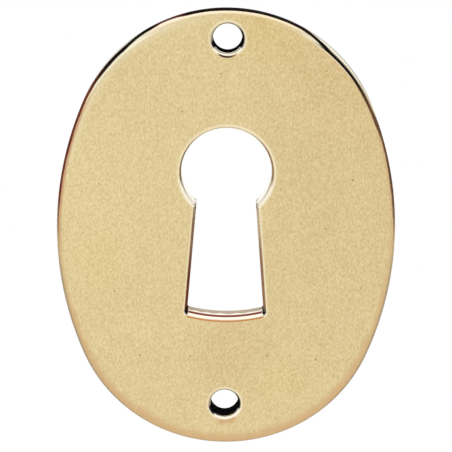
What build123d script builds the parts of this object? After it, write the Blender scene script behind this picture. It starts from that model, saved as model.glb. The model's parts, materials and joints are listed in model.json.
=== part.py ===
# Keyhole escutcheon for a drawer or cupboard lock: a flat oval brass plate with a keyhole and two
# screw holes, cut in one piece from thick sheet. It stands as it is fixed: +Z up, its front towards
# -Y and its back on Y = 0. The origin is on the back, midway between the two screw holes.
import os
from math import atan2, degrees, sqrt

from build123d import *

# Oval blank
plate_width = 27.0  # widest, left to right
plate_height = 35.8  # from the top end to the bottom end
side_radius = 26.7  # the slow arcs of the two sides; the end arcs follow from it
sheet_thickness = 2.0
rim_round = 0.28  # front edge of the oval, drawn in as the blank was cut and then polished
back_break = 0.1  # light break along the back edge

# Two round holes for the fixing screws
hole_diameter = 2.3
top_land = 1.0  # metal between the upper hole and the top end
bottom_land = 2.3  # metal between the lower hole and the bottom end

# Keyhole, set out from the centre of its round head
head_diameter = 7.2
head_rise = 4.4  # head's centre above the middle of the two screw holes
bit_reach = 12.1  # head's centre to the lower edge of the slot, an arc about that centre
neck_width = 4.75  # slot where it leaves the head
slot_width = 6.2  # slot at its lower corners
corner_round = 0.2  # lower corners of the slot
pierced_round = 0.3  # front edge of the keyhole and of the screw holes

# Places that follow from those sizes
hole_radius = hole_diameter / 2
head_radius = head_diameter / 2
hole_spacing = plate_height - top_land - bottom_land - hole_diameter
oval_drop = (bottom_land - top_land) / 2  # oval's centre below the middle of the screw holes


def oval_outline():
    half_width = plate_width / 2
    half_height = plate_height / 2
    # The end arcs run into the side arcs without a corner, which fixes their radius.
    ends_over = 2 * side_radius * half_width - half_width**2 - half_height**2
    end_radius = ends_over / (2 * (side_radius - half_height))
    side_offset = side_radius - half_width
    end_offset = half_height - end_radius
    join = degrees(atan2(end_offset, side_offset))
    right = CenterArc((-side_offset, 0), side_radius, -join, 2 * join)
    top = CenterArc((0, end_offset), end_radius, join, 180 - 2 * join)
    left = CenterArc((side_offset, 0), side_radius, 180 - join, 2 * join)
    bottom = CenterArc((0, -end_offset), end_radius, 180 + join, 180 - 2 * join)
    return make_face([right, top, left, bottom])


def keyhole_outline():
    half_neck = neck_width / 2
    half_slot = slot_width / 2
    neck_drop = sqrt(head_radius**2 - half_neck**2)
    foot_drop = sqrt(bit_reach**2 - half_slot**2)
    neck_angle = degrees(atan2(-neck_drop, half_neck))
    head = CenterArc((0, 0), head_radius, neck_angle, 180 - 2 * neck_angle)
    left_side = Line((-half_neck, -neck_drop), (-half_slot, -foot_drop))
    foot = ThreePointArc((-half_slot, -foot_drop), (0, -bit_reach), (half_slot, -foot_drop))
    right_side = Line((half_slot, -foot_drop), (half_neck, -neck_drop))
    outline = make_face([head, left_side, foot, right_side])
    lower_corners = outline.vertices().sort_by(Axis.Y)[:2]
    return fillet(lower_corners, corner_round)


def pierced_outlines():
    keyhole = Pos(0, head_rise) * keyhole_outline()
    upper_hole = Pos(0, hole_spacing / 2) * Circle(hole_radius)
    lower_hole = Pos(0, -hole_spacing / 2) * Circle(hole_radius)
    return keyhole + upper_hole + lower_hole


def escutcheon_plate():
    blank = Pos(0, -oval_drop) * oval_outline()
    section = Plane.XZ * (blank - pierced_outlines())
    plate = extrude(section, sheet_thickness)
    front = plate.faces().sort_by(Axis.Y)[0]
    pierced_edges = [edge for wire in front.inner_wires() for edge in wire.edges()]
    plate = fillet(pierced_edges, pierced_round)
    front = plate.faces().sort_by(Axis.Y)[0]
    plate = fillet(front.outer_wire().edges(), rim_round)
    back = plate.faces().sort_by(Axis.Y)[-1]
    return fillet(back.outer_wire().edges(), back_break)


os.makedirs("parts", exist_ok=True)
export_step(escutcheon_plate(), "parts/escutcheon_plate.step")
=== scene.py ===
import json
import math

import bmesh
import bpy
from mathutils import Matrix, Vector


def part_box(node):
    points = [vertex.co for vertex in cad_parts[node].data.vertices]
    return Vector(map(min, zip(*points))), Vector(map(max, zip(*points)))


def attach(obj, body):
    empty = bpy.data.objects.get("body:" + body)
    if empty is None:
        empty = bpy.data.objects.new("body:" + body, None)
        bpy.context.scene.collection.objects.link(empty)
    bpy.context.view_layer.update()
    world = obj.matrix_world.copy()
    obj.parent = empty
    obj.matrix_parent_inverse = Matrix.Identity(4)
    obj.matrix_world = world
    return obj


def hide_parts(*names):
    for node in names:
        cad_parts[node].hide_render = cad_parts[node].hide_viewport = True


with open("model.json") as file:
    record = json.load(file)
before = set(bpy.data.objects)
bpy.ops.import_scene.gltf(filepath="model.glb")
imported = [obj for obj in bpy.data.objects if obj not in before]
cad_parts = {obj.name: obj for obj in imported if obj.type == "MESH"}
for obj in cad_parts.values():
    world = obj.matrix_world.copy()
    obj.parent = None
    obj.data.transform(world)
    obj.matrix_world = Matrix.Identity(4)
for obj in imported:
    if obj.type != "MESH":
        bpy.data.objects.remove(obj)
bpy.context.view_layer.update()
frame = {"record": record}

mm = 0.001
scene = bpy.context.scene


# Node helpers

def feed(tree, socket, value):
    if isinstance(value, bpy.types.NodeSocket):
        tree.links.new(value, socket)
    else:
        socket.default_value = value


def addNode(tree, kind, inputs=None, **settings):
    node = tree.nodes.new(kind)
    for key, value in settings.items():
        setattr(node, key, value)
    for key, value in (inputs or {}).items():
        feed(tree, node.inputs[key], value)
    return node


def calc(tree, operation, *values):
    node = addNode(tree, "ShaderNodeMath", operation=operation)
    for socket, value in zip(node.inputs, values):
        feed(tree, socket, value)
    return node.outputs[0]


def vectorCalc(tree, operation, a, b=None, scale=None):
    node = addNode(tree, "ShaderNodeVectorMath", {0: a}, operation=operation)
    if b is not None:
        feed(tree, node.inputs[1], b)
    if scale is not None:
        feed(tree, node.inputs["Scale"], scale)
    return node.outputs["Value" if operation == "LENGTH" else "Vector"]


def oneLess(tree, value):
    return calc(tree, "SUBTRACT", 1.0, value)


def lengthOf(tree, x, y):
    run = addNode(tree, "ShaderNodeCombineXYZ", {"X": x, "Y": y}).outputs[0]
    return vectorCalc(tree, "LENGTH", run)


def applied(tree, kind, geometry, inputs=None):
    # A geometry node whose first socket takes the geometry
    node = addNode(tree, kind, inputs)
    feed(tree, node.inputs[0], geometry)
    return node.outputs[0]


def setInput(modifier, tree, name, value):
    for item in tree.interface.items_tree:
        if item.item_type == "SOCKET" and item.in_out == "INPUT" and item.name == name:
            modifier[item.identifier] = value
            return
    raise KeyError(name)


# The plate: its outer sizes and holes come from the frame, the rest is here, in millimetres
low, high = (Vector(corner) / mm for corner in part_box("escutcheon_plate"))
screwHoles = next(m for m in frame["record"]["mounts"] if m["name"] == "screw_holes")["dims"]
plate = {
    "sideRadius": 26.7,  # slow arcs of the two sides; the end arcs follow
    "rimRound": 0.28,
    "backBreak": 0.1,
    "headDiameter": 7.2,
    "headRise": 4.4,  # head's centre over the middle of the screw holes
    "bitReach": 12.1,  # head's centre down to the foot of the slot
    "neckWidth": 4.75,
    "slotWidth": 6.2,
    "cornerRound": 0.2,
    "piercedRound": 0.3,
    "faceLand": 0.18,  # flat margin beside each edge, keeps the face's shading flat
    "weld": 0.002,
    "roundSteps": 14,  # steps through an edge's section
    "wallSteps": 10,
    "breakSteps": 4,
    "sideSteps": 64,  # steps along the outlines
    "endSteps": 128,
    "headSteps": 120,
    "slotSteps": 40,
    "cornerSteps": 12,
    "footSteps": 48,
    "holeSteps": 72,
}
halfWidth = (high.x - low.x) / 2
halfHeight = (high.z - low.z) / 2
thickness = high.y - low.y
ovalMiddle = (high.z + low.z) / 2
sideRadius = plate["sideRadius"]
endsOver = 2 * sideRadius * halfWidth - halfWidth**2 - halfHeight**2
endRadius = endsOver / (2 * (sideRadius - halfHeight))
sideOffset = sideRadius - halfWidth
endOffset = halfHeight - endRadius
joinAngle = math.atan2(endOffset, sideOffset)  # where a side arc runs into an end arc
holeRise = screwHoles["spacing_y_mm"] / 2


def arcPoints(centre, radius, fromAngle, toAngle, steps):
    angles = [fromAngle + (toAngle - fromAngle) * i / steps for i in range(steps)]
    return [(centre[0] + radius * math.cos(a), centre[1] + radius * math.sin(a)) for a in angles]


def linePoints(start, end, steps):
    run = (end[0] - start[0], end[1] - start[1])
    shares = [i / steps for i in range(steps)]
    return [(start[0] + run[0] * share, start[1] + run[1] * share) for share in shares]


def ovalOutline(draw):
    # Four arcs that run into each other; draw moves the line into the metal
    join = joinAngle
    turn = math.pi
    side = sideRadius - draw
    end = endRadius - draw
    sideSteps = plate["sideSteps"]
    endSteps = plate["endSteps"]
    points = arcPoints((-sideOffset, ovalMiddle), side, -join, join, sideSteps)
    points += arcPoints((0, ovalMiddle + endOffset), end, join, turn - join, endSteps)
    points += arcPoints((sideOffset, ovalMiddle), side, turn - join, turn + join, sideSteps)
    points += arcPoints((0, ovalMiddle - endOffset), end, turn + join, 2 * turn - join, endSteps)
    return points


def holeOutline(rise, draw):
    return arcPoints((0, rise), screwHoles["hole_r_mm"] + draw, 0, 2 * math.pi, plate["holeSteps"])


def keyholeOutline(draw):
    # Round head, flared slot with small lower corners, and a foot struck from the head's centre
    head = plate["headDiameter"] / 2
    neck = plate["neckWidth"] / 2
    slot = plate["slotWidth"] / 2
    reach = plate["bitReach"]
    corner = plate["cornerRound"]
    neckDrop = -math.sqrt(head * head - neck * neck)
    footDrop = -math.sqrt(reach * reach - slot * slot)
    flare = math.atan2(slot - neck, neckDrop - footDrop)
    outward = (math.cos(flare), math.sin(flare))  # out of the slot's right side
    sideLine = outward[0] * neck + outward[1] * neckDrop  # the side's way from the head's centre
    neckAngle = flare - math.acos((sideLine + draw) / (head + draw))
    cornerReach = reach - corner
    cornerAngle = flare - math.acos((sideLine - corner) / cornerReach)
    cornerCentre = (cornerReach * math.cos(cornerAngle), cornerReach * math.sin(cornerAngle))
    grown = corner + draw
    footEnd = (cornerCentre[0] + grown * outward[0], cornerCentre[1] + grown * outward[1])
    neckEnd = ((head + draw) * math.cos(neckAngle), (head + draw) * math.sin(neckAngle))

    def mirrored(point):
        return (-point[0], point[1])

    turn = math.pi
    cornerSteps = plate["cornerSteps"]
    points = arcPoints((0, 0), head + draw, neckAngle, turn - neckAngle, plate["headSteps"])
    points += linePoints(mirrored(neckEnd), mirrored(footEnd), plate["slotSteps"])
    points += arcPoints(mirrored(cornerCentre), grown, turn - flare, turn - cornerAngle, cornerSteps)
    points += arcPoints((0, 0), reach + draw, -turn - cornerAngle, cornerAngle, plate["footSteps"])
    points += arcPoints(cornerCentre, grown, cornerAngle, flare, cornerSteps)
    points += linePoints(footEnd, neckEnd, plate["slotSteps"])
    return [(x, y + plate["headRise"]) for x, y in points]


def pathObject(name, outline, reach):
    # A ring of points on the outline, each with its way into the metal and the way its edge faces
    outer = [Vector(point) for point in outline(0)]
    inner = [Vector(point) for point in outline(reach)]
    count = len(outer)
    ring = [(i, (i + 1) % count) for i in range(count)]
    mesh = bpy.data.meshes.new(name)
    mesh.from_pydata([(point.x * mm, point.y * mm, 0) for point in outer], ring, [])
    for key in ("intoMetal", "outOfMetal"):
        mesh.attributes.new(key, "FLOAT_VECTOR", "POINT")
    intoMetal = mesh.attributes["intoMetal"].data
    outOfMetal = mesh.attributes["outOfMetal"].data
    for i in range(count):
        into = (inner[i] - outer[i]) / reach
        along = outer[(i + 1) % count] - outer[i - 1]
        out = Vector((along.y, -along.x)).normalized()
        if out.dot(into) > 0:
            out.negate()
        intoMetal[i].vector = into.to_3d()
        outOfMetal[i].vector = out.to_3d()
    path = bpy.data.objects.new(name, mesh)
    scene.collection.objects.link(path)
    return path


def storeValue(tree, geometry, name, value, kind="FLOAT"):
    node = addNode(tree, "GeometryNodeStoreNamedAttribute", {"Geometry": geometry, "Name": name})
    node.data_type = kind
    node.domain = "POINT"
    feed(tree, node.inputs["Value"], value)
    return node.outputs[0]


def rolledEdgeTree():
    # One edge of the plate: the section of a cut and polished edge, carried round a path
    tree = bpy.data.node_groups.new("rolledEdge", "GeometryNodeTree")
    face = tree.interface
    face.new_socket("Path", in_out="INPUT", socket_type="NodeSocketObject")
    for name in ("Thickness", "Front Round", "Back Break", "Face Land", "Edge Kind"):
        face.new_socket(name, in_out="INPUT", socket_type="NodeSocketFloat")
    for name in ("Round Steps", "Wall Steps", "Break Steps"):
        face.new_socket(name, in_out="INPUT", socket_type="NodeSocketInt")
    for name in ("Edge", "Front Loop", "Back Loop"):
        face.new_socket(name, in_out="OUTPUT", socket_type="NodeSocketGeometry")
    given = addNode(tree, "NodeGroupInput").outputs
    path = addNode(tree, "GeometryNodeObjectInfo", transform_space="ORIGINAL")
    feed(tree, path.inputs["Object"], given["Path"])
    ring = path.outputs["Geometry"]
    size = addNode(tree, "GeometryNodeAttributeDomainSize", {"Geometry": ring}, component="MESH")
    count = size.outputs["Point Count"]
    rounding = given["Front Round"]
    breaking = given["Back Break"]

    # A sheet of quads: a column for each point of the path, a row for each step of the section
    cutSteps = calc(tree, "ADD", given["Round Steps"], given["Wall Steps"])
    steps = calc(tree, "ADD", cutSteps, given["Break Steps"])
    rows = calc(tree, "ADD", steps, 3)
    columns = calc(tree, "ADD", count, 1)
    sheet = addNode(tree, "GeometryNodeMeshGrid", {"Size X": 1.0, "Size Y": 1.0})
    feed(tree, sheet.inputs["Vertices X"], columns)
    feed(tree, sheet.inputs["Vertices Y"], rows)
    position = addNode(tree, "GeometryNodeInputPosition").outputs[0]
    place = addNode(tree, "ShaderNodeSeparateXYZ", {0: position}).outputs
    column = calc(tree, "ROUND", calc(tree, "MULTIPLY", calc(tree, "ADD", place["X"], 0.5), count))
    around = calc(tree, "MODULO", column, count)
    lastRow = calc(tree, "SUBTRACT", rows, 1)
    row = calc(tree, "ROUND", calc(tree, "MULTIPLY", calc(tree, "ADD", place["Y"], 0.5), lastRow))
    step = calc(tree, "SUBTRACT", row, 1)

    # The section: flat land, front round, wall, back break, flat land
    def shareOf(start, length):
        part = calc(tree, "DIVIDE", calc(tree, "SUBTRACT", step, start), length)
        return addNode(tree, "ShaderNodeClamp", {"Value": part}).outputs[0]

    rolled = shareOf(0, given["Round Steps"])
    down = shareOf(given["Round Steps"], given["Wall Steps"])
    broken = shareOf(cutSteps, given["Break Steps"])
    quarter = math.pi / 2
    rollAngle = calc(tree, "MULTIPLY", rolled, quarter)
    breakAngle = calc(tree, "MULTIPLY", broken, quarter)
    pastBack = calc(tree, "GREATER_THAN", step, calc(tree, "ADD", steps, 0.5))
    onLand = calc(tree, "ADD", calc(tree, "LESS_THAN", step, -0.5), pastBack)
    frontInset = calc(tree, "MULTIPLY", rounding, oneLess(tree, calc(tree, "SINE", rollAngle)))
    backInset = calc(tree, "MULTIPLY", breaking, oneLess(tree, calc(tree, "COSINE", breakAngle)))
    landInset = calc(tree, "MULTIPLY", given["Face Land"], onLand)
    inset = calc(tree, "ADD", calc(tree, "ADD", frontInset, backInset), landInset)
    wall = calc(tree, "SUBTRACT", calc(tree, "SUBTRACT", given["Thickness"], rounding), breaking)
    frontDepth = calc(tree, "MULTIPLY", rounding, oneLess(tree, calc(tree, "COSINE", rollAngle)))
    wallDepth = calc(tree, "MULTIPLY", wall, down)
    backDepth = calc(tree, "MULTIPLY", breaking, calc(tree, "SINE", breakAngle))
    depth = calc(tree, "ADD", calc(tree, "ADD", frontDepth, wallDepth), backDepth)

    # Each point of the sheet goes to its column's path point, drawn in and back by the section
    def atColumn(value):
        sample = addNode(tree, "GeometryNodeSampleIndex", data_type="FLOAT_VECTOR", domain="POINT")
        feed(tree, sample.inputs["Geometry"], ring)
        feed(tree, sample.inputs["Value"], value)
        feed(tree, sample.inputs["Index"], around)
        return sample.outputs["Value"]

    def onRing(name):
        named = addNode(tree, "GeometryNodeInputNamedAttribute", data_type="FLOAT_VECTOR")
        feed(tree, named.inputs["Name"], name)
        return named.outputs["Attribute"]

    intoMetal = onRing("intoMetal")
    into = atColumn(intoMetal)
    drawn = vectorCalc(tree, "SCALE", into, scale=inset)
    behind = addNode(tree, "ShaderNodeCombineXYZ", {"Z": depth}).outputs[0]
    target = vectorCalc(tree, "ADD", vectorCalc(tree, "ADD", atColumn(position), drawn), behind)

    # For the finish, stored while the sheet is flat: the place on the section (-1 face, 0 round starts,
    # 1 wall starts, 2 wall done, 3 back), the way the edge faces out of the metal and which edge it is
    sectionPlace = calc(tree, "ADD", calc(tree, "ADD", rolled, down), broken)
    sectionPlace = calc(tree, "SUBTRACT", sectionPlace, calc(tree, "LESS_THAN", step, -0.5))
    marked = storeValue(tree, sheet.outputs["Mesh"], "sectionPlace", sectionPlace)
    marked = storeValue(tree, marked, "edgeFacing", atColumn(onRing("outOfMetal")), "FLOAT_VECTOR")
    marked = storeValue(tree, marked, "edgeKind", given["Edge Kind"])
    edge = applied(tree, "GeometryNodeSetPosition", marked, {"Position": target})

    # The two loops that the flat faces are filled between
    def faceLoop(edgeInset):
        loopInset = calc(tree, "ADD", edgeInset, given["Face Land"])
        moved = vectorCalc(tree, "SCALE", intoMetal, scale=loopInset)
        drawnIn = applied(tree, "GeometryNodeSetPosition", ring, {"Offset": moved})
        return applied(tree, "GeometryNodeMeshToCurve", drawnIn)

    end = addNode(tree, "NodeGroupOutput")
    feed(tree, end.inputs["Edge"], edge)
    feed(tree, end.inputs["Front Loop"], faceLoop(rounding))
    feed(tree, end.inputs["Back Loop"], faceLoop(breaking))
    return tree


def piercedPlateTree():
    # Four rolled edges and two flat faces, welded into one closed plate and stood upright
    tree = bpy.data.node_groups.new("piercedPlate", "GeometryNodeTree")
    face = tree.interface
    edgeKinds = {"Oval Path": 0.0, "Keyhole Path": 1.0, "Upper Hole Path": 2.0, "Lower Hole Path": 2.0}
    for name in edgeKinds:
        face.new_socket(name, in_out="INPUT", socket_type="NodeSocketObject")
    for name in ("Thickness", "Rim Round", "Pierced Round", "Back Break", "Face Land", "Weld"):
        face.new_socket(name, in_out="INPUT", socket_type="NodeSocketFloat")
    stepNames = ("Round Steps", "Wall Steps", "Break Steps")
    for name in stepNames:
        face.new_socket(name, in_out="INPUT", socket_type="NodeSocketInt")
    face.new_socket("Finish", in_out="INPUT", socket_type="NodeSocketMaterial")
    face.new_socket("Plate", in_out="OUTPUT", socket_type="NodeSocketGeometry")
    given = addNode(tree, "NodeGroupInput").outputs
    joins = [addNode(tree, "GeometryNodeJoinGeometry") for i in range(4)]
    edges, frontLoops, backLoops, whole = joins
    edgeTree = rolledEdgeTree()
    for name, kind in edgeKinds.items():
        edge = addNode(tree, "GeometryNodeGroup", node_tree=edgeTree)
        feed(tree, edge.inputs["Path"], given[name])
        feed(tree, edge.inputs["Front Round"], given["Rim Round" if kind == 0 else "Pierced Round"])
        feed(tree, edge.inputs["Edge Kind"], kind)
        for same in ("Thickness", "Back Break", "Face Land") + stepNames:
            feed(tree, edge.inputs[same], given[same])
        tree.links.new(edge.outputs["Edge"], edges.inputs[0])
        tree.links.new(edge.outputs["Front Loop"], frontLoops.inputs[0])
        tree.links.new(edge.outputs["Back Loop"], backLoops.inputs[0])

    def flatFace(loops, depth, place):
        filled = applied(tree, "GeometryNodeFillCurve", loops.outputs[0])
        lowered = addNode(tree, "ShaderNodeCombineXYZ", {"Z": depth}).outputs[0]
        moved = applied(tree, "GeometryNodeSetPosition", filled, {"Offset": lowered})
        marked = storeValue(tree, moved, "sectionPlace", place)
        return applied(tree, "GeometryNodeSetShadeSmooth", marked, {"Shade Smooth": False})

    smooth = applied(tree, "GeometryNodeSetShadeSmooth", edges.outputs[0], {"Shade Smooth": True})
    tree.links.new(smooth, whole.inputs[0])
    tree.links.new(flatFace(frontLoops, 0.0, -1.0), whole.inputs[0])
    tree.links.new(flatFace(backLoops, given["Thickness"], 3.0), whole.inputs[0])
    welded = applied(tree, "GeometryNodeMergeByDistance", whole.outputs[0], {"Distance": given["Weld"]})
    # Drawn flat with its front on Z = 0, then stood with its front towards -Y and its back on Y = 0
    position = addNode(tree, "GeometryNodeInputPosition").outputs[0]
    flat = addNode(tree, "ShaderNodeSeparateXYZ", {0: position}).outputs
    upright = addNode(tree, "ShaderNodeCombineXYZ", {"X": flat["X"], "Z": flat["Y"]})
    feed(tree, upright.inputs["Y"], calc(tree, "SUBTRACT", flat["Z"], given["Thickness"]))
    stood = applied(tree, "GeometryNodeSetPosition", welded, {"Position": upright.outputs[0]})
    real = applied(tree, "GeometryNodeRealizeInstances", stood)
    finished = applied(tree, "GeometryNodeSetMaterial", real, {"Material": given["Finish"]})
    end = addNode(tree, "NodeGroupOutput")
    feed(tree, end.inputs["Plate"], finished)
    return tree


def buildPlate(finish):
    outlines = {
        "Oval Path": ovalOutline,
        "Keyhole Path": keyholeOutline,
        "Upper Hole Path": lambda draw: holeOutline(holeRise, draw),
        "Lower Hole Path": lambda draw: holeOutline(-holeRise, draw),
    }
    tree = piercedPlateTree()
    blank = bpy.data.objects.new("plateBlank", bpy.data.meshes.new("plateBlank"))
    scene.collection.objects.link(blank)
    modifier = blank.modifiers.new("piercedPlate", "NODES")
    modifier.node_group = tree
    reach = plate["piercedRound"] + plate["faceLand"]
    paths = []
    for name, outline in outlines.items():
        path = pathObject(name.replace(" ", ""), outline, reach)
        setInput(modifier, tree, name, path)
        paths.append(path)
    lengths = {
        "Thickness": thickness,
        "Rim Round": plate["rimRound"],
        "Pierced Round": plate["piercedRound"],
        "Back Break": plate["backBreak"],
        "Face Land": plate["faceLand"],
        "Weld": plate["weld"],
    }
    for name, value in lengths.items():
        setInput(modifier, tree, name, value * mm)
    setInput(modifier, tree, "Round Steps", plate["roundSteps"])
    setInput(modifier, tree, "Wall Steps", plate["wallSteps"])
    setInput(modifier, tree, "Break Steps", plate["breakSteps"])
    setInput(modifier, tree, "Finish", finish)
    bpy.context.view_layer.update()
    evaluated = blank.evaluated_get(bpy.context.evaluated_depsgraph_get())
    made = bpy.data.meshes.new_from_object(evaluated)
    made.name = "escutcheonPlate"
    made.materials.clear()  # the tree leaves an empty slot before the finish
    made.materials.append(finish)
    for helper in paths + [blank]:
        bpy.data.objects.remove(helper)
    work = bmesh.new()
    work.from_mesh(made)
    bmesh.ops.recalc_face_normals(work, faces=work.faces)
    openEdges = sum(1 for e in work.edges if len(e.link_faces) != 2)
    work.to_mesh(made)
    work.free()
    piece = bpy.data.objects.new("escutcheonPlate", made)
    scene.collection.objects.link(piece)
    print("plate:", len(made.polygons), "faces,", openEdges, "open edges")
    return piece


# Satin brass: grained face, polished rounds, cut walls, tarnish where polish doesn't reach, and painted
# shade, highlights and dark reflections at the edges
brass = {
    "faceColor": (0.788, 0.634, 0.335),
    "grainColor": (0.72, 0.71, 0.51),  # what the grain gives or takes
    "grainScale": (6.9, 6.9, 4.1),  # patterns to the millimetre
    "grainDepth": 0.7,
    "grainGloss": 0.12,
    "streakScale": (3.2, 3.2, 0.4),
    "streakDepth": 0.07,
    "mottleScale": (0.45, 0.45, 0.4),
    "mottleDepth": 0.09,
    "speckScale": 0.2,
    "speckDepth": 0.4,
    "patchScale": (0.9, 0.9, 0.9),
    "raggedScale": (1.3, 0.3, 1.3),
    "wanderScale": (0.45, 0.45, 0.45),
    "scoreScale": (11.0, 0.5, 11.0),
    "tearScale": (9.0, 9.0, 9.0),
    "reliefStrength": 0.35,
    "reliefDepth": 0.00002,  # metres
    # Painted shade (shoulder, grey-tan, fringe), painted highlights (pale, cream) and painted
    # reflections (orange, lip brown, black on the top) are among these colours
    "shoulderShadeColor": (0.7, 0.47, 0.23, 1),
    "paleHighlightColor": (0.97, 0.88, 0.65, 1),
    "topHighlightColor": (0.92, 0.78, 0.56, 1),
    "sideHighlightColor": (1.0, 0.94, 0.71, 1),
    "creamHighlightColor": (0.98, 0.92, 0.78, 1),
    "redBrownColor": (0.17, 0.042, 0.02, 1),
    "brownColor": (0.16, 0.08, 0.04, 1),
    "orangeBrownColor": (0.3, 0.125, 0.05, 1),
    "lowRimShadeColor": (0.42, 0.34, 0.24, 1),
    "greyColor": (0.15, 0.135, 0.125, 1),
    "fringeShadeColor": (0.6, 0.31, 0.18, 1),
    "orangeReflectionColor": (0.6, 0.27, 0.09, 1),
    "brownLipReflectionColor": (0.045, 0.025, 0.009, 1),
    "footLineColor": (0.3, 0.075, 0.06, 1),
    "blackColor": (0.011, 0.007, 0.0055, 1),
    "boreColor": (0.008, 0.0075, 0.0075, 1),
    "tornColor": (0.57, 0.48, 0.37, 1),
    "faceRoughness": 0.3,
    "roundRoughness": 0.07,
    "tarnishRoughness": 0.8,
    "backRoughness": 0.42,
    # soft toning of the face: middle in millimetres (x, z), reach, color, share
    "toning": (
        ((9.5, 12.5), 9.0, (0.749, 0.553, 0.275, 1), 0.75),
        ((10.0, 2.0), 13.0, (0.744, 0.583, 0.3, 1), 0.75),
        ((2.5, 16.0), 4.5, (0.763, 0.578, 0.265, 1), 0.7),
        ((9.0, -9.0), 12.0, (0.754, 0.608, 0.32, 1), 0.8),
        ((0.2, -11.0), 5.0, (0.739, 0.563, 0.29, 1), 0.7),
        ((-12.0, 3.0), 10.0, (0.818, 0.664, 0.345, 1), 0.8),
        ((-10.0, -3.0), 3.5, (0.788, 0.652, 0.31, 1), 0.6),
        ((4.5, -13.0), 4.0, (0.763, 0.632, 0.3, 1), 0.5),
    ),
}


def ramp(tree, value, start, end, toStart=0.0, toEnd=1.0):
    node = addNode(tree, "ShaderNodeMapRange", interpolation_type="SMOOTHSTEP")
    for socket, given in zip(node.inputs, (value, start, end, toStart, toEnd)):
        feed(tree, socket, given)
    return node.outputs[0]


def times(tree, *shares):
    product = shares[0]
    for share in shares[1:]:
        product = calc(tree, "MULTIPLY", product, share)
    return product


def beyond(tree, value, mark, before, after, *levels):
    return ramp(tree, calc(tree, "SUBTRACT", value, mark), before, after, *levels)


def band(tree, value, rise, full, hold, fall):
    return times(tree, ramp(tree, value, rise, full), ramp(tree, value, hold, fall, 1.0, 0.0))


def blend(tree, share, a, b):
    colored = isinstance(b, tuple) or getattr(b, "type", "VALUE") in ("RGBA", "VECTOR")
    node = addNode(tree, "ShaderNodeMix", data_type="RGBA" if colored else "FLOAT")
    first = 6 if colored else 2
    feed(tree, node.inputs[0], share)
    feed(tree, node.inputs[first], a)
    feed(tree, node.inputs[first + 1], b)
    return node.outputs[2 if colored else 0]


def noise(tree, place, scales, detail=2.0, roughness=0.55):
    stretched = vectorCalc(tree, "MULTIPLY", place, scales)
    inputs = {"Vector": stretched, "Scale": 1.0, "Detail": detail, "Roughness": roughness}
    return addNode(tree, "ShaderNodeTexNoise", inputs).outputs[0]


def centred(tree, pattern):
    return calc(tree, "SUBTRACT", pattern, 0.5)


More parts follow.
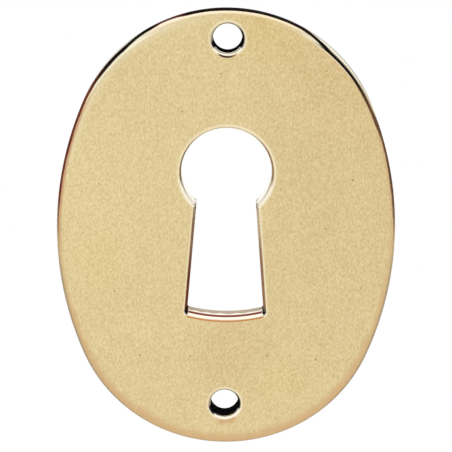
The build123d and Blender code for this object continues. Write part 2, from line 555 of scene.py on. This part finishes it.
def brassFinish():
    material = bpy.data.materials.new("satinBrass")
    material.use_nodes = True
    tree = material.node_tree
    shader = tree.nodes["Principled BSDF"]
    # In what follows section runs from -1 (face) to 3 (back), upward and sideways from -1 to 1, and
    # the axes are in millimetres
    coords = addNode(tree, "ShaderNodeTexCoord").outputs["Object"]
    place = vectorCalc(tree, "SCALE", coords, scale=1 / mm)
    axes = addNode(tree, "ShaderNodeSeparateXYZ", {0: place}).outputs
    flat = addNode(tree, "ShaderNodeCombineXYZ", {"X": axes["X"], "Y": axes["Z"]}).outputs[0]
    section = addNode(tree, "ShaderNodeAttribute", attribute_name="sectionPlace").outputs["Fac"]
    edgeKind = addNode(tree, "ShaderNodeAttribute", attribute_name="edgeKind").outputs["Fac"]
    facing = addNode(tree, "ShaderNodeAttribute", attribute_name="edgeFacing").outputs["Vector"]
    facingAxes = addNode(tree, "ShaderNodeSeparateXYZ", {0: facing}).outputs
    sideways = facingAxes["X"]
    upward = facingAxes["Y"]
    onEdge = ramp(tree, section, -1.0, -0.9)
    isRim = times(tree, calc(tree, "LESS_THAN", edgeKind, 0.5), onEdge)
    isSlot = calc(tree, "COMPARE", edgeKind, 1.0, 0.5)
    isBore = calc(tree, "GREATER_THAN", edgeKind, 1.5)
    isFront = calc(tree, "LESS_THAN", section, 2.5)

    # Face: fine upright grain, faint streaks and mottle, a few dark specks, soft toning
    grain = noise(tree, place, brass["grainScale"])
    streaks = noise(tree, place, brass["streakScale"])
    mottle = noise(tree, place, brass["mottleScale"], 3.0, 0.6)
    tone = times(tree, centred(tree, grain), brass["grainDepth"])
    tone = calc(tree, "MULTIPLY_ADD", centred(tree, streaks), brass["streakDepth"], tone)
    tone = calc(tree, "MULTIPLY_ADD", centred(tree, mottle), brass["mottleDepth"], tone)
    cells = addNode(tree, "ShaderNodeTexVoronoi", {"Vector": flat}, voronoi_dimensions="2D")
    cells.inputs["Scale"].default_value = brass["speckScale"]
    speck = ramp(tree, cells.outputs["Distance"], 0.008, 0.022, 1.0, 0.0)
    rare = ramp(tree, cells.outputs["Color"], 0.35, 0.6)
    tone = calc(tree, "MULTIPLY_ADD", times(tree, speck, rare), -brass["speckDepth"], tone)
    color = brass["faceColor"] + (1,)
    for middle, reach, tint, share in brass["toning"]:
        away = vectorCalc(tree, "SUBTRACT", flat, (middle[0], middle[1], 0))
        distance = vectorCalc(tree, "LENGTH", away)
        uneven = calc(tree, "MULTIPLY_ADD", centred(tree, mottle), reach * 0.6, distance)
        color = blend(tree, ramp(tree, uneven, reach * 0.15, reach, share, 0.0), color, tint)
    grained = vectorCalc(tree, "SCALE", brass["grainColor"], scale=tone)
    color = vectorCalc(tree, "ADD", color, grained)

    # Shoulder: painted shade, darker and warmer towards the rim, most of all at the bottom, and a
    # painted highlight at the upper left
    aside = calc(tree, "ABSOLUTE", axes["X"])
    over = calc(tree, "SUBTRACT", axes["Z"], ovalMiddle)
    above = calc(tree, "ABSOLUTE", over)
    fromSide = lengthOf(tree, calc(tree, "ADD", aside, sideOffset), above)
    fromEnd = lengthOf(tree, aside, calc(tree, "SUBTRACT", above, endOffset))
    toSide = calc(tree, "SUBTRACT", sideRadius, fromSide)
    toEnd = calc(tree, "SUBTRACT", endRadius, fromEnd)
    joinRise = endOffset + endRadius * math.sin(joinAngle)
    toRim = blend(tree, calc(tree, "GREATER_THAN", above, joinRise), toSide, toEnd)
    patches = noise(tree, place, brass["patchScale"], 3.0)
    patchy = calc(tree, "MULTIPLY_ADD", centred(tree, patches), 0.7, toRim)
    shoulderWidth = ramp(tree, over, -halfHeight, -2.0, 1.15, 0.6)
    # Painted shade: a darker, warmer colour towards the rim
    shoulderShade = ramp(tree, calc(tree, "DIVIDE", patchy, shoulderWidth), 0.35, 1.0, 1.0, 0.0)
    shoulderShade = times(tree, shoulderShade, ramp(tree, over, -8.0, 6.0, 0.95, 0.0), isFront)
    color = blend(tree, shoulderShade, color, brass["shoulderShadeColor"])
    # Painted highlight: a pale band on the rim at the upper left
    upperLeft = times(tree, ramp(tree, over, 3.0, 8.0), ramp(tree, axes["X"], -5.0, 1.0, 1.0, 0.0))
    litRim = times(tree, band(tree, toRim, 0.1, 0.35, 0.4, 1.0), upperLeft, 0.28, isFront)
    color = blend(tree, litRim, color, brass["paleHighlightColor"])

    # Polished rounds and the walls of the pierced holes: a paler colour than the face, which paints
    # part of their highlight, and a painted cream highlight on the lower lips
    isPierced = oneLess(tree, calc(tree, "LESS_THAN", edgeKind, 0.5))
    facesRight = ramp(tree, sideways, -0.3, 0.3)
    facesUp = ramp(tree, upward, 0.35, 0.6)
    facesUp = times(tree, facesUp, ramp(tree, facesRight, 0.0, 1.0, 1.0, 0.75))
    # Painted highlights: pale rounds where the rim faces up, a pale halo round the pierced edges, cream
    # on their lower lips
    paleFrom = ramp(tree, upward, 0.7, 0.95, -0.5, 0.15)
    rightLip = times(tree, facesRight, band(tree, over, 10.5, 12.5, 15.0, 16.3))
    paleFrom = blend(tree, rightLip, paleFrom, -0.85)  # further onto the face
    rimHighlight = times(tree, isRim, facesUp, beyond(tree, section, paleFrom, -0.1, 0.2))
    atTop = ramp(tree, upward, 0.8, 0.92)
    rimHighlightTint = blend(tree, atTop, brass["sideHighlightColor"], brass["topHighlightColor"])
    color = blend(tree, times(tree, rimHighlight, isFront), color, rimHighlightTint)
    haloShare = calc(tree, "MULTIPLY_ADD", facesRight, -0.25, 0.6)
    piercedHighlight = times(tree, isPierced, ramp(tree, section, -0.7, 0.1), haloShare)
    color = blend(tree, times(tree, piercedHighlight, isFront), color, brass["paleHighlightColor"])
    lip = times(tree, ramp(tree, upward, 0.05, 0.35), ramp(tree, section, 0.0, 0.35))
    lip = times(tree, lip, isPierced, isFront)
    color = blend(tree, lip, color, brass["creamHighlightColor"])

    # Walls: dull and torn towards the back, where the sheet broke away from the cut
    overFoot = ramp(tree, upward, 0.8, 0.93)
    ragged = noise(tree, place, brass["raggedScale"], 4.0, 0.65)
    tornStart = blend(tree, times(tree, isSlot, overFoot), 1.7, 1.5)
    tornFrom = calc(tree, "MULTIPLY_ADD", centred(tree, ragged), 0.45, tornStart)
    torn = times(tree, onEdge, beyond(tree, section, tornFrom, -0.04, 0.1), isFront)
    inHead = times(tree, isSlot, ramp(tree, axes["Z"], 1.7, 2.1))
    torn = times(tree, torn, oneLess(tree, isBore), oneLess(tree, inHead))
    color = blend(tree, torn, color, brass["tornColor"])

    # Rim: a dark line, red-brown up the left side, brown up the right, and black over the shoulders and
    # the top, where it lies on the wall, as a painted dark reflection; thin and red-brown in one place
    # left of the upper hole
    thinSpot = band(tree, axes["X"], -6.0, -5.1, -4.2, -3.0)
    thinSpot = times(tree, thinSpot, ramp(tree, upward, 0.8, 0.9))
    sideLineColor = blend(tree, facesRight, brass["redBrownColor"], brass["brownColor"])
    blackFrom = calc(tree, "SUBTRACT", upward, ramp(tree, facesRight, 0.0, 1.0, 0.08, 0.0))
    rimLineAndDarkReflection = blend(tree, ramp(tree, blackFrom, 0.36, 0.6), sideLineColor, brass["blackColor"])
    rimLineAndDarkReflection = blend(tree, times(tree, thinSpot, 0.7), rimLineAndDarkReflection, brass["redBrownColor"])
    onTop = ramp(tree, upward, 0.74, 0.93)
    rightShoulder = times(tree, facesRight, ramp(tree, upward, 0.28, 0.4))
    startsOnTop = blend(tree, facesRight, onTop, ramp(tree, upward, 0.72, 0.95))
    wander = centred(tree, noise(tree, place, brass["wanderScale"]))
    darkFrom = blend(tree, startsOnTop, blend(tree, rightShoulder, 0.2, -0.3), 0.95)
    darkFrom = calc(tree, "MULTIPLY_ADD", wander, 0.4, darkFrom)
    darkFrom = calc(tree, "MULTIPLY_ADD", thinSpot, 0.35, darkFrom)
    darkTo = blend(tree, onTop, blend(tree, rightShoulder, 1.45, 0.45), 2.4)
    # Painted dark reflection: black over the shoulders and the top
    rimDark = beyond(tree, section, darkTo, -0.2, 0.25, 1.0, 0.0)
    rimDark = times(tree, rimDark, beyond(tree, section, darkFrom, -0.1, 0.12))
    rimDark = times(tree, rimDark, isRim, ramp(tree, upward, -0.1, 0.14), isFront)
    greyShare = ramp(tree, upward, 0.45, 0.9, 0.95, 0.1)
    greyFrom = ramp(tree, upward, 0.45, 0.75, 1.0, 1.3)
    behindShoulder = times(tree, isRim, rightShoulder, greyShare, isFront)
    behindShoulder = times(tree, behindShoulder, beyond(tree, section, greyFrom, 0.0, 0.3))
    # Painted shade: an orange fringe where the side rounds start, and grey-tan down the lower rim
    onSides = band(tree, upward, -0.1, 0.1, 0.34, 0.5)
    fringeShade = times(tree, isRim, band(tree, section, -1.0, 0.0, 0.2, 0.5), onSides, isFront)
    fringeShade = times(tree, fringeShade, ramp(tree, facesRight, 0.0, 1.0, 0.75, 0.35))
    rimLowShade = times(tree, isRim, band(tree, section, -0.1, 0.6, 1.2, 1.6), isFront)
    rimLowShade = times(tree, rimLowShade, ramp(tree, upward, -0.12, 0.02, 1.0, 0.0))
    rimLowShade = times(tree, rimLowShade, ramp(tree, upward, -0.95, -0.6, 0.45, 0.8))
    color = blend(tree, fringeShade, color, brass["fringeShadeColor"])
    color = blend(tree, rimLowShade, color, brass["lowRimShadeColor"])
    color = blend(tree, rimDark, color, rimLineAndDarkReflection)
    color = blend(tree, behindShoulder, color, brass["greyColor"])

    # Keyhole: brown lines down its sides, redder and darker to the foot, a red-brown line across the
    # foot's wall and a painted orange reflection under its lip, dark marks at the neck and in the
    # corners
    besideLip = ramp(tree, upward, 0.1, 0.4, 1.0, 0.0)
    underLip = ramp(tree, upward, -0.9, -0.4, 0.35, 1.0)
    leftShare = ramp(tree, axes["Z"], -4.5, -1.0, 1.0, 0.8)
    leftShare = times(tree, leftShare, ramp(tree, axes["Z"], 0.2, 1.2, 1.0, 0.8))
    leftShare = blend(tree, inHead, leftShare, 0.9)
    rightShare = blend(tree, inHead, ramp(tree, axes["Z"], -3.0, 0.5, 0.88, 0.42), 0.78)
    lineStart = blend(tree, inHead, 0.08, blend(tree, facesRight, 0.2, 0.32))
    lineFrom = beyond(tree, section, lineStart, 0.0, 0.18)
    lineTo = ramp(tree, section, 1.05, 1.3, 1.0, 0.0)
    slotLine = times(tree, isSlot, lineFrom, lineTo, besideLip, underLip, isFront)
    slotLine = times(tree, slotLine, blend(tree, facesRight, rightShare, leftShare))
    flankShare = times(tree, ramp(tree, upward, 0.1, 0.3), ramp(tree, upward, 0.25, 0.6, 0.8, 0.3))
    flankLine = times(tree, inHead, band(tree, section, 0.62, 0.8, 1.1, 1.3), flankShare, isFront)
    slotLine = calc(tree, "MAXIMUM", slotLine, flankLine)
    upSlot = ramp(tree, axes["Z"], 0.0, 3.0)
    leftLineColor = blend(tree, upSlot, brass["redBrownColor"], brass["brownColor"])
    slotLineColor = blend(tree, facesRight, brass["orangeBrownColor"], leftLineColor)
    atCorners = ramp(tree, axes["Z"], -7.2, -6.5, 1.0, 0.0)
    slotLineColor = blend(tree, atCorners, slotLineColor, brass["blackColor"])
    footLine = times(tree, isSlot, band(tree, section, 0.86, 0.98, 1.24, 1.38), overFoot)
    # Painted reflection: an orange line under the foot's lip, also used under the upper hole's lip
    lipReflectionLine = times(tree, band(tree, section, -0.4, -0.1, 0.16, 0.36), overFoot)
    nearFoot = calc(tree, "LESS_THAN", axes["Z"], -5.0)
    cornerMark = times(tree, band(tree, upward, 0.0, 0.15, 0.7, 0.9), ramp(tree, section, 0.1, 0.4))
    cornerMark = times(tree, cornerMark, isSlot, nearFoot, isFront)
    atNeck = band(tree, axes["Z"], 1.3, 1.55, 1.7, 1.9)
    neckMark = times(tree, isSlot, atNeck, band(tree, section, 0.3, 0.6, 1.3, 1.6), 0.7)
    color = blend(tree, slotLine, color, slotLineColor)
    color = blend(tree, times(tree, isSlot, lipReflectionLine), color, brass["orangeReflectionColor"])
    color = blend(tree, footLine, color, brass["footLineColor"])
    color = blend(tree, neckMark, color, brass["brownColor"])
    color = blend(tree, cornerMark, color, brass["blackColor"])

    # Screw holes: black inside, a dark ring at the sides, a painted reflection from brown to orange
    # under the upper one's lip and a painted orange reflection below the lower one
    isUpper = calc(tree, "GREATER_THAN", axes["Z"], 0.0)
    lipStart = blend(tree, isUpper, blend(tree, facesRight, 0.35, 0.74), 0.55)
    onLip = beyond(tree, upward, lipStart, -0.08, 0.08)
    besideBore = oneLess(tree, onLip)
    paleSide = times(tree, facesRight, ramp(tree, upward, 0.0, 0.3, 1.0, 0.0))
    ringShare = blend(tree, paleSide, 1.0, blend(tree, isUpper, 0.25, 0.4))
    boreRing = times(tree, isBore, ramp(tree, section, 0.1, 0.42), besideBore, underLip, ringShare)
    boreOpen = blend(tree, isUpper, 0.82, 0.92)
    boreFrom = blend(tree, onLip, 0.4, boreOpen)
    boreFrom = blend(tree, paleSide, boreFrom, 1.05)
    boreWall = times(tree, isBore, beyond(tree, section, boreFrom, -0.05, 0.1))
    boreWall = times(tree, boreWall, ramp(tree, upward, -0.6, -0.3))
    boreDark = times(tree, calc(tree, "MAXIMUM", boreRing, boreWall), isFront)
    # Painted reflections: brown to orange under the upper hole's lip, orange below the lower hole
    upperLipReflection = times(tree, isBore, lipReflectionLine, isUpper)
    fromLower = vectorCalc(tree, "SUBTRACT", flat, (0, -holeRise, 0))
    lowerAxes = addNode(tree, "ShaderNodeSeparateXYZ", {0: fromLower}).outputs
    offBore = calc(tree, "SUBTRACT", vectorCalc(tree, "LENGTH", fromLower), screwHoles["hole_r_mm"])
    onFace = ramp(tree, section, 0.0, 0.25, 1.0, 0.0)
    underBoreReflection = times(tree, ramp(tree, offBore, 0.15, 0.85, 1.0, 0.0), onFace, isFront)
    underBoreReflection = times(tree, underBoreReflection, ramp(tree, lowerAxes["Y"], -1.25, -1.0, 0.75, 0.0))
    underBoreReflection = times(tree, underBoreReflection, band(tree, lowerAxes["X"], -0.9, -0.2, 0.7, 1.3))
    toRight = ramp(tree, axes["X"], 0.0, 0.9)
    lipReflectionTint = blend(tree, toRight, brass["brownLipReflectionColor"], brass["orangeReflectionColor"])
    color = blend(tree, upperLipReflection, color, lipReflectionTint)
    color = blend(tree, underBoreReflection, color, brass["orangeReflectionColor"])
    color = blend(tree, boreDark, color, brass["boreColor"])
    feed(tree, shader.inputs["Base Color"], color)

    # The dark lines, marks and bores, the torn walls, the painted shade and the painted dark
    # reflections are dull and no longer metal; the rim's polish starts later than the pierced edges'
    dull = calc(tree, "MAXIMUM", rimDark, times(tree, torn, 0.7))
    for share in (rimLowShade, behindShoulder, slotLine, footLine, neckMark, cornerMark, boreDark):
        dull = calc(tree, "MAXIMUM", dull, share)
    feed(tree, shader.inputs["Metallic"], ramp(tree, dull, 0.0, 1.0, 1.0, 0.0))
    shader.inputs["Specular IOR Level"].default_value = 0.0
    unevenGloss = times(tree, centred(tree, grain), brass["grainGloss"])
    grainGloss = calc(tree, "ADD", unevenGloss, brass["faceRoughness"])
    polishFrom = blend(tree, isRim, -0.2, 0.35)
    polished = beyond(tree, section, polishFrom, 0.0, 0.3)
    gloss = blend(tree, polished, grainGloss, brass["roundRoughness"])
    gloss = blend(tree, dull, gloss, brass["tarnishRoughness"])
    gloss = blend(tree, isFront, brass["backRoughness"], gloss)
    feed(tree, shader.inputs["Roughness"], gloss)

    # Relief: grain on the faces, scoring through the wall, tearing behind it
    onWall = times(tree, band(tree, section, 0.9, 1.0, 2.0, 2.2), onEdge)
    scoring = noise(tree, place, brass["scoreScale"])
    tearing = noise(tree, place, brass["tearScale"], 3.0, 0.6)
    wallRelief = blend(tree, torn, scoring, tearing)
    relief = blend(tree, onWall, times(tree, grain, 0.5), wallRelief)
    bump = addNode(tree, "ShaderNodeBump", {"Height": relief})
    bump.inputs["Strength"].default_value = brass["reliefStrength"]
    bump.inputs["Distance"].default_value = brass["reliefDepth"]
    feed(tree, shader.inputs["Normal"], bump.outputs[0])
    return material


piece = buildPlate(brassFinish())
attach(piece, "root")
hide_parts("escutcheon_plate")

# Pale floor well below the plate, swept up all round, higher at the sides and the front, in metres
sweep = {
    "floorLevel": -0.08,
    "flatRadius": 0.55,
    "rimRadius": 0.95,
    "backLevel": 0.3,
    "sideLevel": 1.15,
    "frontLevel": 1.36,
    "spokes": 96,
    "rings": 32,
    "color": (0.88, 0.88, 0.88, 1),
}


def sweepLevel(radius, angle):
    outside = (radius - sweep["flatRadius"]) / (sweep["rimRadius"] - sweep["flatRadius"])
    rise = max(0.0, outside) ** 2
    forward = -math.sin(angle)
    if forward > 0:
        top = sweep["sideLevel"] + (sweep["frontLevel"] - sweep["sideLevel"]) * forward
    else:
        top = sweep["sideLevel"] + (sweep["backLevel"] - sweep["sideLevel"]) * forward**2
    return sweep["floorLevel"] + (top - sweep["floorLevel"]) * rise


def buildSweep():
    around = sweep["spokes"]
    rings = sweep["rings"]
    work = bmesh.new()
    hub = work.verts.new((0, 0, sweep["floorLevel"]))
    rows = []
    for ring in range(1, rings + 1):
        radius = sweep["rimRadius"] * ring / rings
        row = []
        for i in range(around):
            angle = 2 * math.pi * (i + 0.5) / around  # no spoke in the plane of the plate's back
            spot = (radius * math.cos(angle), radius * math.sin(angle), sweepLevel(radius, angle))
            row.append(work.verts.new(spot))
        rows.append(row)
    for i in range(around):
        j = (i + 1) % around
        work.faces.new((hub, rows[0][i], rows[0][j]))
        for inner, outer in zip(rows, rows[1:]):
            work.faces.new((inner[i], outer[i], outer[j], inner[j]))
    for f in work.faces:
        f.smooth = True
    mesh = bpy.data.meshes.new("studioSweep")
    work.to_mesh(mesh)
    work.free()
    floor = bpy.data.objects.new("studioSweep", mesh)
    scene.collection.objects.link(floor)
    material = bpy.data.materials.new("paleSweep")
    material.use_nodes = True
    tree = material.node_tree
    tree.nodes.clear()
    rays = addNode(tree, "ShaderNodeLightPath").outputs
    mirrored = calc(tree, "MAXIMUM", rays["Is Glossy Ray"], rays["Is Transmission Ray"])
    seen = calc(tree, "MAXIMUM", rays["Is Camera Ray"], mirrored)
    paint = addNode(tree, "ShaderNodeBsdfDiffuse", {"Color": sweep["color"]})
    white = addNode(tree, "ShaderNodeEmission", {"Color": (1, 1, 1, 1), "Strength": 1.0})
    mix = addNode(tree, "ShaderNodeMixShader", {0: seen})
    feed(tree, mix.inputs[1], paint.outputs[0])
    feed(tree, mix.inputs[2], white.outputs[0])
    out = addNode(tree, "ShaderNodeOutputMaterial")
    feed(tree, out.inputs["Surface"], mix.outputs[0])
    mesh.materials.append(material)
    print("floor:", len(mesh.polygons), "faces")


buildSweep()

# One large softbox over the plate and a little behind it, in a dark room
studio = {
    "softboxTurn": 111,  # degrees over the top, from the front horizon
    "softboxDistance": 1.0,
    "softboxSize": (1.6, 2.86),
    "softboxPower": 17.0,
    "roomColor": (0.015, 0.015, 0.015, 1),
}


def aimAt(thing, target):
    thing.rotation_euler = (Vector(target) - thing.location).to_track_quat("-Z", "Y").to_euler()


def buildLight():
    lamp = bpy.data.lights.new("overheadSoftbox", "AREA")
    lamp.shape = "RECTANGLE"
    lamp.size, lamp.size_y = studio["softboxSize"]
    lamp.energy = studio["softboxPower"]
    softbox = bpy.data.objects.new("overheadSoftbox", lamp)
    scene.collection.objects.link(softbox)
    turn = math.radians(studio["softboxTurn"])
    softbox.location = Vector((0, -math.cos(turn), math.sin(turn))) * studio["softboxDistance"]
    aimAt(softbox, (0, 0, 0))
    world = bpy.data.worlds.new("darkRoom")
    scene.world = world
    world.use_nodes = True
    room = world.node_tree.nodes["Background"]
    room.inputs["Color"].default_value = studio["roomColor"]
    room.inputs["Strength"].default_value = 1.0
    print("light: softbox", studio["softboxPower"], "W")


buildLight()

# Camera at the photo's viewing angle, in millimetres and degrees
view = {
    "elevation": 16.0,
    "roll": 0.5,
    "distance": 142.0,  # from the middle of the oval's back
    "pixelsPerMm": 12.376,  # there
    "imageWidth": 452,
    "aim": (0.0, 0.0, 0.14),  # off the middle of the oval's back
    "sensorWidth": 36.0,
    "nearest": 5.0,  # what the camera sees, near and far
    "farthest": 10000.0,
}


def buildCamera():
    data = bpy.data.cameras.new("photoCamera")
    camera = bpy.data.objects.new("photoCamera", data)
    scene.collection.objects.link(camera)
    data.sensor_width = view["sensorWidth"]
    data.lens = view["pixelsPerMm"] * view["distance"] / view["imageWidth"] * view["sensorWidth"]
    data.clip_start = view["nearest"] * mm
    data.clip_end = view["farthest"] * mm
    rise = math.radians(view["elevation"])
    target = (Vector(view["aim"]) + Vector((0, 0, ovalMiddle))) * mm
    camera.location = target + Vector((0, -math.cos(rise), math.sin(rise))) * view["distance"] * mm
    aimAt(camera, target)
    camera.rotation_euler.rotate_axis("Z", math.radians(view["roll"]))
    scene.camera = camera
    print("camera: lens", round(data.lens, 1))


buildCamera()
scene.view_settings.view_transform = "Standard"
